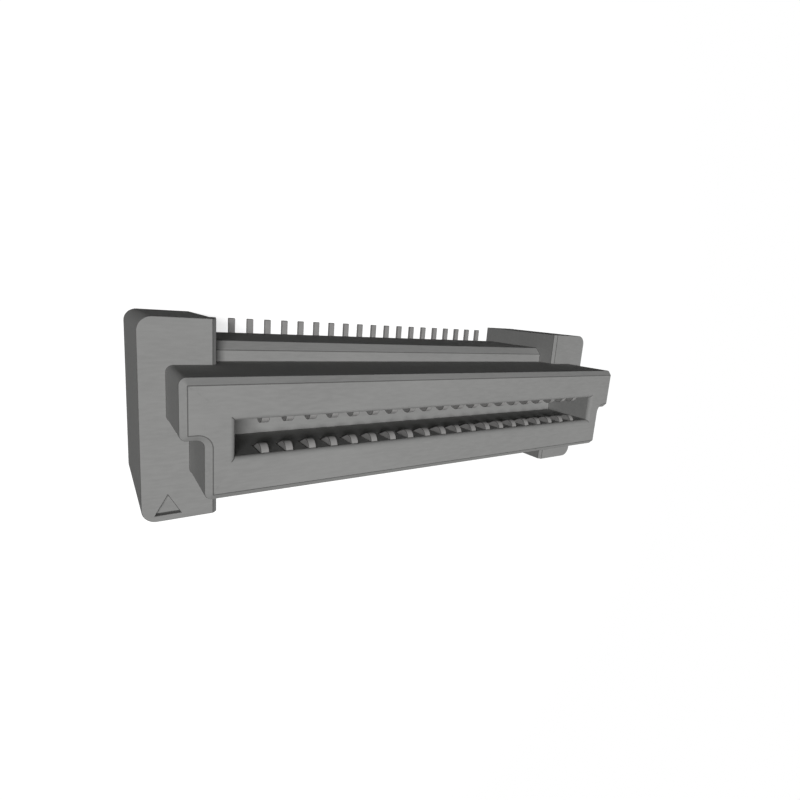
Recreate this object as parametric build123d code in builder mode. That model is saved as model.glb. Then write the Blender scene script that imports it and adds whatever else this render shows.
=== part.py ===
from build123d import *
import math
import os

# Straight two-row surface-mount socket for printed circuit boards, in millimetres.
# z = 0 is the solder plane, +Z is the mating direction and the rows run along X.
# The origin is the middle of the footprint. Pin 1 is at the -X end of the -Y row.

# Contact pattern
contacts_per_row = 20
pitch = 1.27
row_span = pitch * (contacts_per_row - 1)

# Body bar between the end blocks
bar_end_margin = 1.485
bar_length = row_span + 2 * bar_end_margin
bar_width = 8.28
bar_top = 6.85
bar_chamfer = 0.5
board_standoff = 0.35

# End blocks, which stand on the board
block_length = 3.79
block_width = 10.86
block_height = 8.3
block_corner_radius = 0.75
block_inner_chamfer = 0.22

# Mating shell on top of the bar, shorter on the pin 1 side so it mates one way only
slot_end_margin = 1.535
slot_length = row_span + 2 * slot_end_margin
slot_width = 1.82
slot_depth = 3.97
slot_lead_in_radius = 0.3
shell_end_wall = 2.45
shell_side_wall = 2.07
shell_rise = 4.1
shell_key_step = 1.085
shell_corner_radius = 0.35
shell_chamfer = 0.33
shell_length = slot_length + 2 * shell_end_wall
shell_width = slot_width + 2 * shell_side_wall
shell_top = block_height + shell_rise

# Contact strip, one stamping: solder foot, post, spring beam and a solid rounded tip
strip_thickness = 0.25
strip_width = 0.43
foot_reach = 5.13
foot_inner_radius = 0.1
post_offset = 1.675
beam_angle = 27
tip_gap = 1.08
tip_radius = 0.48
tip_tail = 0.33
tip_end_clearance = 0.05

# Wide part of the post, which grips the side walls of its channel
grip_side_clearance = 0.01
grip_bottom = 0.9
grip_top = 3.2

# Channel in the housing behind each contact, with its window into the slot
channel_side_clearance = 0.05
channel_inner_wall = 0.25
channel_outer_wall = 0.5
window_beam_clearance = 0.12

# Pin 1 mark, a recessed triangle in the end block
mark_side = 1.27
mark_depth = 0.3
mark_edge_margin = 0.35
mark_end_margin = 1.275

# Places worked out from the sizes above
block_center = bar_length / 2 + block_length / 2
contact_places = [pitch * (n - (contacts_per_row - 1) / 2) for n in range(contacts_per_row)]
half_strip = strip_thickness / 2
foot_height = half_strip
tip_center_offset = tip_gap / 2 + tip_radius
tip_center_radius = tip_radius - half_strip
channel_top = shell_top - slot_lead_in_radius
tip_height = channel_top - tip_end_clearance - half_strip
tip_turn = math.radians(90 + beam_angle)
tip_corner_offset = tip_center_offset - tip_center_radius * math.tan(tip_turn / 2)
beam_slope = math.tan(math.radians(beam_angle))
knee_height = tip_height - (post_offset - tip_corner_offset) / beam_slope
slot_half = slot_width / 2
channel_inner = slot_half + channel_inner_wall
channel_outer = slot_half + shell_side_wall - channel_outer_wall
channel_width = strip_width + 2 * channel_side_clearance
grip_width = channel_width - 2 * grip_side_clearance


def beam_face_height(offset):
    """Height at which the slot side of the spring beam is this far from the middle plane."""
    half_strip_along_beam = half_strip / math.cos(math.radians(beam_angle))
    centre_line = offset + half_strip_along_beam
    return tip_height - (centre_line - tip_corner_offset) / beam_slope


with BuildPart() as housing:
    # Two end blocks with rounded outer corners
    with BuildSketch(Plane.XY):
        with Locations((-block_center, 0), (block_center, 0)):
            Rectangle(block_length, block_width)
        corners = vertices().group_by(Axis.X)
        fillet(corners[0] + corners[-1], radius=block_corner_radius)
    extrude(amount=block_height)
    inner_edges = edges().filter_by(Axis.Y).group_by(Axis.Z)[-1].sort_by(Axis.X)[1:3]
    chamfer(inner_edges, length=block_inner_chamfer)

    # Body bar held clear of the board, chamfered along both top edges
    with BuildSketch(Plane.YZ):
        with BuildLine():
            bar_side = bar_width / 2
            Polyline(
                (-bar_side, board_standoff),
                (bar_side, board_standoff),
                (bar_side, bar_top - bar_chamfer),
                (bar_side - bar_chamfer, bar_top),
                (-bar_side + bar_chamfer, bar_top),
                (-bar_side, bar_top - bar_chamfer),
                close=True,
            )
        make_face()
    extrude(amount=bar_length / 2, both=True)

    # Mating shell: full length above the middle plane, stepped in at both ends below it
    with BuildSketch(Plane.XY.offset(bar_top)):
        with Locations((0, shell_width / 4)):
            Rectangle(shell_length, shell_width / 2)
        with Locations((0, -shell_width / 4)):
            Rectangle(shell_length - 2 * shell_key_step, shell_width / 2)
        fillet(vertices(), radius=shell_corner_radius)
    extrude(amount=shell_top - bar_top)
    chamfer(faces().sort_by(Axis.Z)[-1].edges(), length=shell_chamfer)

    # Slot for the plug's tongue, with a rounded mouth
    with BuildSketch(Plane.XY.offset(shell_top)):
        Rectangle(slot_length, slot_width)
    extrude(amount=-slot_depth, mode=Mode.SUBTRACT)
    slot_mouth = faces().sort_by(Axis.Z)[-1].inner_wires()[0]
    fillet(slot_mouth.edges(), radius=slot_lead_in_radius)

    # Contact channels, open at the board side, each with a window into the slot
    with BuildSketch(*[Plane.YZ.offset(place) for place in contact_places]):
        with BuildLine():
            Polyline(
                (channel_inner, board_standoff),
                (channel_outer, board_standoff),
                (channel_outer, channel_top),
                (0, channel_top),
                (0, beam_face_height(slot_half) - window_beam_clearance),
                (slot_half, beam_face_height(slot_half) - window_beam_clearance),
                (channel_inner, beam_face_height(channel_inner) - window_beam_clearance),
                close=True,
            )
        make_face()
        mirror(about=Plane.YZ)
    extrude(amount=channel_width / 2, both=True, mode=Mode.SUBTRACT)

    # Pin 1 mark
    mark_height = mark_side * math.sin(math.radians(60))
    mark_x = -(block_center + block_length / 2 - mark_end_margin)
    mark_y = -(block_width / 2 - mark_edge_margin)
    with BuildSketch(Plane.XY.offset(block_height)):
        with BuildLine():
            Polyline(
                (mark_x - mark_side / 2, mark_y),
                (mark_x + mark_side / 2, mark_y),
                (mark_x, mark_y + mark_height),
                close=True,
            )
        make_face()
    extrude(amount=-mark_depth, mode=Mode.SUBTRACT)


with BuildPart() as contact:
    # Side profile of the bent strip, from the solder foot up to the rounded tip
    with BuildSketch(Plane.YZ):
        with BuildLine():
            Polyline(
                (foot_reach, foot_height),
                (post_offset, foot_height),
                (post_offset, knee_height),
                (tip_corner_offset, tip_height),
                (tip_center_offset + tip_tail, tip_height),
            )
        trace(line_width=strip_thickness)
        foot_outside = vertices().sort_by_distance((post_offset - half_strip, 0, 0))[0]
        fillet(foot_outside, radius=foot_inner_radius + strip_thickness)
        foot_inside = vertices().sort_by_distance((post_offset + half_strip, strip_thickness, 0))[0]
        fillet(foot_inside, radius=foot_inner_radius)

        # Solid tip: the corner between beam and tail is filled as far as the slot's wall
        with BuildLine():
            Polyline(
                (tip_corner_offset, tip_height),
                (channel_inner, tip_height),
                (channel_inner, tip_height - (channel_inner - tip_corner_offset) / beam_slope),
                close=True,
            )
        make_face()
        tip_outside = vertices().sort_by(Axis.X)[0]
        fillet(tip_outside, radius=tip_radius)
    extrude(amount=strip_width / 2, both=True)

    # Wide part of the post
    with BuildSketch(Plane.XZ.offset(-post_offset)):
        with Locations((0, (grip_bottom + grip_top) / 2)):
            Rectangle(grip_width, grip_top - grip_bottom)
    extrude(amount=half_strip, both=True)


os.makedirs("parts", exist_ok=True)

housing.part.label = "housing"
export_step(housing.part, "parts/housing.step")

# The -Y row is row a, which starts with pin 1, and the +Y row faces it as row b
for row_name, row_turn in (("row_a", 180), ("row_b", 0)):
    for number, place in enumerate(contact_places, start=1):
        placed = Pos(place, 0, 0) * Rot(0, 0, row_turn) * contact.part
        placed.label = f"{row_name}_contact_{number:02d}"
        export_step(placed, f"parts/{placed.label}.step")
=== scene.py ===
import math

import bpy
from bpy.props import FloatProperty, FloatVectorProperty, PointerProperty
from mathutils import Matrix, Vector

bl_info = {
    "name": "Board Socket Connector",
    "version": (1, 0, 0),
    "blender": (4, 5, 0),
    "location": "View3D > Sidebar > Connector",
    "description": "Materials, floor, light and camera for a two-row board socket",
    "category": "Object",
}

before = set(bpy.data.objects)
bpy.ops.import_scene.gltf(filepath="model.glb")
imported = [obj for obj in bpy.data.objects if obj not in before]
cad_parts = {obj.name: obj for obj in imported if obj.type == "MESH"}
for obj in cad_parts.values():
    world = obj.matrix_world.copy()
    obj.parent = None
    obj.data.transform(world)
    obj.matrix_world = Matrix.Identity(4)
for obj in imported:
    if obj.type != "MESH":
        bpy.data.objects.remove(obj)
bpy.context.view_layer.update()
MM = 0.001
WHITE = (1.0, 1.0, 1.0, 1.0)
ROWS = ("row_a", "row_b")
# Points of the CAD mesh that lie closer than this count as one point
JOIN_DISTANCE = 0.01 * MM
# Edges that bend by more than this are rounded
SHARP_ANGLE = math.radians(35)
# Nearly all facets of arcs meet at under 10.7 degrees, the faces of rounded edges at over 11.2
FACET_ANGLE = math.radians(10.8)
# Nearly all values of a noise lie in this range
NOISE_LOW, NOISE_HIGH = 0.3, 0.7
# Patterns that are too fine to show are drawn this many times as coarse
COARSER = 10


def linear_channel(value):
    """One sRGB channel from 0 to 1, as linear light."""
    if value <= 0.04045:
        return value / 12.92
    return ((value + 0.055) / 1.055) ** 2.4


def linear(code):
    """A colour written in hex, as linear light."""
    return tuple(linear_channel(int(code[i : i + 2], 16) / 255) for i in (1, 3, 5))


def scaled(color, factor):
    """A colour made lighter or darker, with full alpha."""
    return (*(min(1.0, channel * factor) for channel in color), 1.0)


def add_node(tree, kind, inputs=None, **settings):
    """Adds a node with its settings. Each input is a plain value or another node's output."""
    node = tree.nodes.new(kind)
    for name, value in settings.items():
        setattr(node, name, value)
    for name, value in (inputs or {}).items():
        if isinstance(name, int):
            socket = node.inputs[name]
        else:
            socket = next(
                entry for entry in node.inputs if name in (entry.identifier, entry.name)
            )
        if isinstance(value, bpy.types.NodeSocket):
            tree.links.new(value, socket)
        else:
            socket.default_value = value
    return node


def new_material(name):
    """An empty node material and its tree."""
    material = bpy.data.materials.new(name)
    material.use_nodes = True
    material.node_tree.nodes.clear()
    return material, material.node_tree


def finish_material(tree, shader):
    """Links the last shader to the material's output."""
    add_node(tree, "ShaderNodeOutputMaterial", {"Surface": shader})


def noise(tree, size, detail=2.0, stretch=(1.0, 1.0, 1.0)):
    """Noise with features of this real size in metres, longer along an axis by its stretch."""
    place = add_node(tree, "ShaderNodeTexCoord")
    mapping = add_node(
        tree,
        "ShaderNodeMapping",
        {
            "Vector": place.outputs["Object"],
            "Scale": [1 / (size * factor) for factor in stretch],
        },
    )
    texture = add_node(
        tree,
        "ShaderNodeTexNoise",
        {"Vector": mapping.outputs["Vector"], "Scale": 1.0, "Detail": detail},
    )
    return texture.outputs["Fac"]


def spread(tree, factor, low, high):
    """Spreads a noise, which stays near its middle, over the range from low to high."""
    node = add_node(
        tree,
        "ShaderNodeMapRange",
        {
            "Value": factor,
            "From Min": NOISE_LOW,
            "From Max": NOISE_HIGH,
            "To Min": low,
            "To Max": high,
        },
    )
    return node.outputs["Result"]


def blend_colors(tree, factor, first, second):
    """A colour between two others."""
    node = add_node(
        tree,
        "ShaderNodeMix",
        {"Factor_Float": factor, "A_Color": first, "B_Color": second},
        data_type="RGBA",
    )
    return node.outputs[2]


def bump(tree, height, depth, normal=None):
    """A bump of this depth in metres, on top of another normal if one is given."""
    inputs = {"Height": height, "Distance": depth, "Strength": 1.0}
    if normal is not None:
        inputs["Normal"] = normal
    return add_node(tree, "ShaderNodeBump", inputs).outputs["Normal"]


def arc_shading():
    """Nodes that shade the facets of an arc as one smooth face, and keep other edges crisp."""
    tree = bpy.data.node_groups.get("arc_shading")
    if tree:
        return tree
    tree = bpy.data.node_groups.new("arc_shading", "GeometryNodeTree")
    for direction in ("INPUT", "OUTPUT"):
        tree.interface.new_socket(
            "Geometry", in_out=direction, socket_type="NodeSocketGeometry"
        )
    source = add_node(tree, "NodeGroupInput")
    plain = add_node(
        tree,
        "GeometryNodeRemoveAttribute",
        {"Geometry": source.outputs["Geometry"], "Name": "custom_normal"},
    )
    smooth = add_node(
        tree,
        "GeometryNodeSetShadeSmooth",
        {"Geometry": plain.outputs["Geometry"]},
        domain="FACE",
    )
    bend = add_node(tree, "GeometryNodeInputMeshEdgeAngle")
    slight = add_node(
        tree,
        "ShaderNodeMath",
        {0: bend.outputs["Unsigned Angle"], 1: FACET_ANGLE},
        operation="LESS_THAN",
    )
    shaded = add_node(
        tree,
        "GeometryNodeSetShadeSmooth",
        {"Geometry": smooth.outputs["Geometry"], "Shade Smooth": slight.outputs["Value"]},
        domain="EDGE",
    )
    add_node(tree, "NodeGroupOutput", {"Geometry": shaded.outputs["Geometry"]})
    return tree


def dress(node, surface, edge, radius, even):
    """Gives a CAD node its material, and rounds its sharp edges, which get a second one: a darker
    copy that paints shade along them.

    Points that lie almost on each other are joined first, as no edge between them can be
    rounded. An even rounding keeps its width where edges meet on a large face. The last two
    modifiers change only the shading, so that flat faces look flat beside the rounded edges.
    """
    node.data.materials.clear()
    node.data.materials.append(surface)
    node.data.materials.append(edge)
    weld = node.modifiers.new("Join close points", "WELD")
    weld.merge_threshold = JOIN_DISTANCE
    bevel = node.modifiers.new("Edge radius", "BEVEL")
    bevel.width = radius
    bevel.segments = 2
    bevel.limit_method = "ANGLE"
    bevel.angle_limit = SHARP_ANGLE
    bevel.use_clamp_overlap = False
    bevel.loop_slide = not even
    # The rounded edges take the darker second material, which is painted shade
    bevel.material = 1
    shading = node.modifiers.new("Arc shading", "NODES")
    shading.node_group = arc_shading()
    level = node.modifiers.new("Level faces", "WEIGHTED_NORMAL")
    level.keep_sharp = True


class CONNECTOR_PG_housing(bpy.types.PropertyGroup):
    """Settings of the moulded housing."""

    color: FloatVectorProperty(
        name="Colour",
        description="Colour of the moulded plastic",
        subtype="COLOR",
        min=0.0,
        max=1.0,
        default=linear("#8C8C8B"),
    )
    roughness: FloatProperty(
        name="Roughness",
        description="How matt the moulded surface is",
        subtype="FACTOR",
        min=0.0,
        max=1.0,
        default=0.9,
    )
    grain: FloatProperty(
        name="Grain size",
        description="Size of the fine texture that the mould leaves",
        subtype="DISTANCE",
        min=0.01 * MM,
        default=0.16 * MM,
    )
    edge_radius: FloatProperty(
        name="Edge radius",
        description="Radius of the moulded edges that look sharp",
        subtype="DISTANCE",
        min=0.0,
        default=0.03 * MM,
    )
    # The rounded edges get a darker copy of the plastic: painted shade that draws dark lines
    # along them
    painted_edge_shade: FloatProperty(
        name="Edge tone",
        description="How dark the moulded edges are beside the surfaces",
        subtype="FACTOR",
        min=0.0,
        max=1.0,
        default=0.45,
    )


class CONNECTOR_PG_contacts(bpy.types.PropertyGroup):
    """Settings of the plated contacts."""

    color: FloatVectorProperty(
        name="Colour",
        description="Colour of the matt tin plating",
        subtype="COLOR",
        min=0.0,
        max=1.0,
        default=linear("#929190"),
    )
    roughness: FloatProperty(
        name="Roughness",
        description="How matt the plating is",
        subtype="FACTOR",
        min=0.0,
        max=1.0,
        default=0.7,
    )
    edge_radius: FloatProperty(
        name="Edge radius",
        description="Radius that stamping and plating leave on the strip's edges",
        subtype="DISTANCE",
        min=0.0,
        default=0.03 * MM,
    )
    # The rounded edges get a darker copy of the plating: painted shade that draws dark lines
    # along them
    painted_edge_shade: FloatProperty(
        name="Edge tone",
        description="How dark the stamped edges are beside the surfaces",
        subtype="FACTOR",
        min=0.0,
        max=1.0,
        default=0.35,
    )


class CONNECTOR_PG_stage(bpy.types.PropertyGroup):
    """Settings of the floor, light and camera."""

    floor_color: FloatVectorProperty(
        name="Floor colour",
        description="Colour of the floor as it lights the object",
        subtype="COLOR",
        min=0.0,
        max=1.0,
        default=linear("#1C1C1C"),
    )
    shadow_share: FloatProperty(
        name="Shadow",
        description="How much of the object's shadow shows on the white floor",
        subtype="FACTOR",
        min=0.0,
        max=1.0,
        default=0.35,
    )
    main_power: FloatProperty(
        name="Main light",
        description="Power of the large soft light above the object",
        subtype="POWER",
        min=0.0,
        default=1.02,
    )
    fill_strength: FloatProperty(
        name="Fill light",
        description="Strength of the even light from all round",
        min=0.0,
        default=0.008,
    )
    side_power: FloatProperty(
        name="Side light",
        description="Power of the weak soft light on the far side",
        subtype="POWER",
        min=0.0,
        default=0.05,
    )
    lens: FloatProperty(
        name="Lens",
        description="Focal length of the camera with a 36 mm sensor",
        subtype="DISTANCE_CAMERA",
        min=1.0,
        default=21.44,
    )


class CONNECTOR_OT_housing(bpy.types.Operator):
    """Give the housing its moulded plastic, and its small edge radii a darker copy of it as
    painted shade
    """

    bl_idname = "connector.housing"
    bl_label = "Moulded Housing"

    cloud_size = 3.0 * MM
    cloud_tones = (0.95, 1.04)
    cloud_roughness = (-0.04, 0.06)
    fibre_width = 0.01 * MM
    fibre_depth = 0.003 * MM
    fibre_tone = 1.18
    fibre_share = 0.35
    grain_depth = 0.01 * MM

    def execute(self, context):
        settings = context.scene.connector_housing
        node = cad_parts["housing"]
        surface = self.plastic("glass_filled_moulded_plastic_matt_grey", settings, 1.0)
        # The darker copy for the edges is painted shade, which draws dark lines along them
        edge = self.plastic("moulded_plastic_edge_painted_shade_matt_grey", settings, settings.painted_edge_shade)
        dress(node, surface, edge, settings.edge_radius, even=True)
        return {"FINISHED"}

    def plastic(self, name, settings, tone):
        """Mid-grey matt plastic: faint flow clouds, short fibres along the rows, fine grain."""
        material, tree = new_material(name)
        # A tone under 1 gives the darker copy for the edges, which is painted shade
        color = scaled(settings.color, tone)[:3]
        # Where the melt flowed it set slightly lighter or darker, in soft clouds along the rows
        clouds = noise(tree, self.cloud_size, detail=3.0, stretch=(2.0, 1.0, 1.0))
        # Glass fibres at the surface give pale streaks. They are drawn ten times as thick as
        # real ones so that they show
        fibres = noise(tree, COARSER * self.fibre_width, detail=1.0, stretch=(7.0, 1.5, 1.5))
        # The spark-eroded mould leaves a fine matt grain, drawn about four times as coarse
        grain = noise(tree, settings.grain)
        dark, pale = (scaled(color, factor) for factor in self.cloud_tones)
        cloudy = blend_colors(tree, spread(tree, clouds, 0.0, 1.0), dark, pale)
        fibre_mask = spread(tree, fibres, 0.0, self.fibre_share)
        speckled = blend_colors(tree, fibre_mask, cloudy, scaled(color, self.fibre_tone))
        normal = bump(tree, grain, self.grain_depth, bump(tree, fibres, self.fibre_depth))
        low, high = (settings.roughness + change for change in self.cloud_roughness)
        roughness = spread(tree, clouds, low, high)
        shader = add_node(
            tree,
            "ShaderNodeBsdfPrincipled",
            {
                "Base Color": speckled,
                "Roughness": roughness,
                "IOR": 1.5,
                "Specular IOR Level": 0.05,
                "Normal": normal,
            },
        )
        finish_material(tree, shader.outputs["BSDF"])
        return material


class CONNECTOR_OT_contacts(bpy.types.Operator):
    """Give all contacts their matt plating, and their stamped edges a darker copy of it as
    painted shade
    """

    bl_idname = "connector.contacts"
    bl_label = "Plated Contacts"

    crystal_size = 0.005 * MM
    crystal_depth = 0.0025 * MM
    patch_size = 0.6 * MM
    patch_tones = (0.9, 1.05)
    patch_roughness = (-0.05, 0.08)
    rolling_width = 0.04 * MM
    rolling_depth = 0.0015 * MM

    def execute(self, context):
        settings = context.scene.connector_contacts
        surface = self.plating("matt_tin_plated_copper_alloy", settings, 1.0)
        # The darker copy for the edges is painted shade, which draws dark lines along them
        edge = self.plating("stamped_plated_edge_painted_shade", settings, settings.painted_edge_shade)
        for name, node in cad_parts.items():
            if name.startswith(ROWS):
                dress(node, surface, edge, settings.edge_radius, even=False)
        return {"FINISHED"}

    def plating(self, name, settings, tone):
        """Matt tin over a copper alloy: soft grey metal with fine crystals and rolling lines."""
        material, tree = new_material(name)
        # A tone under 1 gives the darker copy for the edges, which is painted shade
        color = scaled(settings.color, tone)[:3]
        # Tin crystals scatter the light and make the metal look soft and grey. They are drawn
        # ten times as coarse as real ones so that they show
        crystals = noise(tree, COARSER * self.crystal_size)
        # The plating is a little thicker and paler in some places
        patches = noise(tree, self.patch_size)
        # Rolling lines of the strip show through, along its length
        rolling = noise(tree, self.rolling_width, detail=1.0, stretch=(1.0, 14.0, 14.0))
        dark, pale = (scaled(color, factor) for factor in self.patch_tones)
        tinted = blend_colors(tree, spread(tree, patches, 0.0, 1.0), dark, pale)
        normal = bump(tree, crystals, self.crystal_depth, bump(tree, rolling, self.rolling_depth))
        low, high = (settings.roughness + change for change in self.patch_roughness)
        roughness = spread(tree, patches, low, high)
        shader = add_node(
            tree,
            "ShaderNodeBsdfPrincipled",
            {
                "Base Color": tinted,
                "Metallic": 0.25,
                "Roughness": roughness,
                "Specular IOR Level": 0.1,
                "Normal": normal,
            },
        )
        finish_material(tree, shader.outputs["BSDF"])
        return material


class CONNECTOR_OT_stage(bpy.types.Operator):
    """Build the pale floor, the soft light and the camera"""

    bl_idname = "connector.stage"
    bl_label = "Stage"

    # The floor reaches far past what the camera sees, in metres
    floor_half = 3.0
    main_place = Vector((-125.0, 26.0, 305.0)) * MM
    main_size = (36.0 * MM, 130.0 * MM)
    side_place = Vector((78.0, -92.0, 18.0)) * MM
    side_size = (60.0 * MM, 60.0 * MM)
    light_target = Vector((-2.0, 0.0, 8.0)) * MM
    # The floor shows the shadow up to this far from the object
    shadow_reach = 60.0 * MM
    # Brightness of white paint on the floor where nothing shades it
    full_light = 0.7
    camera_place = Vector((-19.405, 6.747, 34.727)) * MM
    camera_right = Vector((0.8358, 0.0743, 0.5440))
    camera_up = Vector((0.0433, 0.9788, -0.2002))

    def execute(self, context):
        settings = context.scene.connector_stage
        self.make_floor(context, settings)
        self.make_softbox(
            context, "main_softbox", self.main_place, self.main_size, settings.main_power
        )
        self.make_softbox(
            context, "side_softbox", self.side_place, self.side_size, settings.side_power
        )
        self.make_surroundings(context, settings)
        self.make_camera(context, settings)
        context.scene.view_settings.view_transform = "Standard"
        return {"FINISHED"}

    def seen_directly(self, tree):
        """1 where the camera sees something itself, or in metal or through glass."""
        path = add_node(tree, "ShaderNodeLightPath")
        seen = add_node(
            tree,
            "ShaderNodeMath",
            {0: path.outputs["Is Camera Ray"], 1: path.outputs["Is Glossy Ray"]},
            operation="MAXIMUM",
        )
        through = add_node(
            tree,
            "ShaderNodeMath",
            {0: seen.outputs["Value"], 1: path.outputs["Is Transmission Ray"]},
            operation="MAXIMUM",
        )
        return through.outputs["Value"]

    def make_floor(self, context, settings):
        """A plain floor at the solder plane, white to the eye, which keeps the shadow."""
        half = self.floor_half
        mesh = bpy.data.meshes.new("floor")
        corners = [(-half, -half, 0), (half, -half, 0), (half, half, 0), (-half, half, 0)]
        mesh.from_pydata(corners, [], [(0, 1, 2, 3)])
        floor = bpy.data.objects.new("floor", mesh)
        context.scene.collection.objects.link(floor)
        material, tree = new_material("plain_pale_floor")
        paint = add_node(
            tree, "ShaderNodeBsdfDiffuse", {"Color": scaled(settings.floor_color, 1.0)}
        )
        place = add_node(tree, "ShaderNodeTexCoord")
        distance = add_node(
            tree, "ShaderNodeVectorMath", {0: place.outputs["Object"]}, operation="LENGTH"
        )
        near = add_node(
            tree,
            "ShaderNodeMapRange",
            {
                "Value": distance.outputs["Value"],
                "From Max": self.shadow_reach,
                "To Min": settings.shadow_share,
                "To Max": 0.0,
            },
            interpolation_type="SMOOTHSTEP",
        )
        glow = add_node(
            tree,
            "ShaderNodeMath",
            {0: 1.0, 1: near.outputs["Result"]},
            operation="SUBTRACT",
        )
        white = add_node(
            tree,
            "ShaderNodeEmission",
            {"Color": WHITE, "Strength": glow.outputs["Value"]},
        )
        lit = add_node(
            tree,
            "ShaderNodeMath",
            {0: near.outputs["Result"], 1: self.full_light},
            operation="DIVIDE",
        )
        white_paint = add_node(tree, "ShaderNodeBsdfDiffuse", {"Color": lit.outputs["Value"]})
        bright = add_node(
            tree,
            "ShaderNodeAddShader",
            {0: white.outputs["Emission"], 1: white_paint.outputs["BSDF"]},
        )
        both = add_node(
            tree,
            "ShaderNodeMixShader",
            {
                0: self.seen_directly(tree),
                1: paint.outputs["BSDF"],
                2: bright.outputs["Shader"],
            },
        )
        finish_material(tree, both.outputs["Shader"])
        mesh.materials.append(material)

    def make_softbox(self, context, name, place, size, power):
        """A soft rectangular studio light aimed at the object."""
        lamp = bpy.data.lights.new(name, "AREA")
        lamp.shape = "RECTANGLE"
        lamp.size, lamp.size_y = size
        lamp.energy = power
        softbox = bpy.data.objects.new(name, lamp)
        softbox.location = place
        aim = self.light_target - place
        softbox.rotation_euler = aim.to_track_quat("-Z", "Y").to_euler()
        context.scene.collection.objects.link(softbox)

    def make_surroundings(self, context, settings):
        """White surroundings, which light the object only weakly."""
        world = bpy.data.worlds.new("white_surroundings")
        world.use_nodes = True
        tree = world.node_tree
        tree.nodes.clear()
        strength = add_node(
            tree,
            "ShaderNodeMapRange",
            {"Value": self.seen_directly(tree), "To Min": settings.fill_strength},
        )
        light = add_node(
            tree,
            "ShaderNodeBackground",
            {"Color": WHITE, "Strength": strength.outputs["Result"]},
        )
        add_node(tree, "ShaderNodeOutputWorld", {"Surface": light.outputs["Background"]})
        context.scene.world = world

    def make_camera(self, context, settings):
        """The photograph's viewpoint: close above the left end, looking along the rows."""
        camera = bpy.data.cameras.new("camera")
        camera.sensor_width = 36.0
        camera.lens = settings.lens
        camera.clip_start = 1.0 * MM
        camera.clip_end = 20.0
        right = self.camera_right.normalized()
        up = (self.camera_up - self.camera_up.dot(right) * right).normalized()
        back = right.cross(up)
        turn = Matrix((right, up, back)).transposed().to_4x4()
        camera_object = bpy.data.objects.new("camera", camera)
        camera_object.matrix_world = Matrix.Translation(self.camera_place) @ turn
        context.scene.collection.objects.link(camera_object)
        context.scene.camera = camera_object


SETTINGS = {
    "connector_housing": CONNECTOR_PG_housing,
    "connector_contacts": CONNECTOR_PG_contacts,
    "connector_stage": CONNECTOR_PG_stage,
}
STEPS = (CONNECTOR_OT_housing, CONNECTOR_OT_contacts, CONNECTOR_OT_stage)


class CONNECTOR_PT_panel(bpy.types.Panel):
    """The connector's settings and steps."""

    bl_idname = "CONNECTOR_PT_panel"
    bl_label = "Board Socket Connector"
    bl_space_type = "VIEW_3D"
    bl_region_type = "UI"
    bl_category = "Connector"

    def draw(self, context):
        for (name, group), step in zip(SETTINGS.items(), STEPS):
            part = self.layout.box()
            values = getattr(context.scene, name)
            for setting in group.__annotations__:
                part.prop(values, setting)
            part.operator(step.bl_idname)


CLASSES = (*SETTINGS.values(), *STEPS, CONNECTOR_PT_panel)


def register():
    for item in CLASSES:
        bpy.utils.register_class(item)
    for name, group in SETTINGS.items():
        setattr(bpy.types.Scene, name, PointerProperty(type=group))


def unregister():
    for name in SETTINGS:
        delattr(bpy.types.Scene, name)
    for item in reversed(CLASSES):
        bpy.utils.unregister_class(item)


def main():
    register()
    bpy.ops.connector.housing()
    bpy.ops.connector.contacts()
    bpy.ops.connector.stage()


if __name__ == "__main__":
    main()
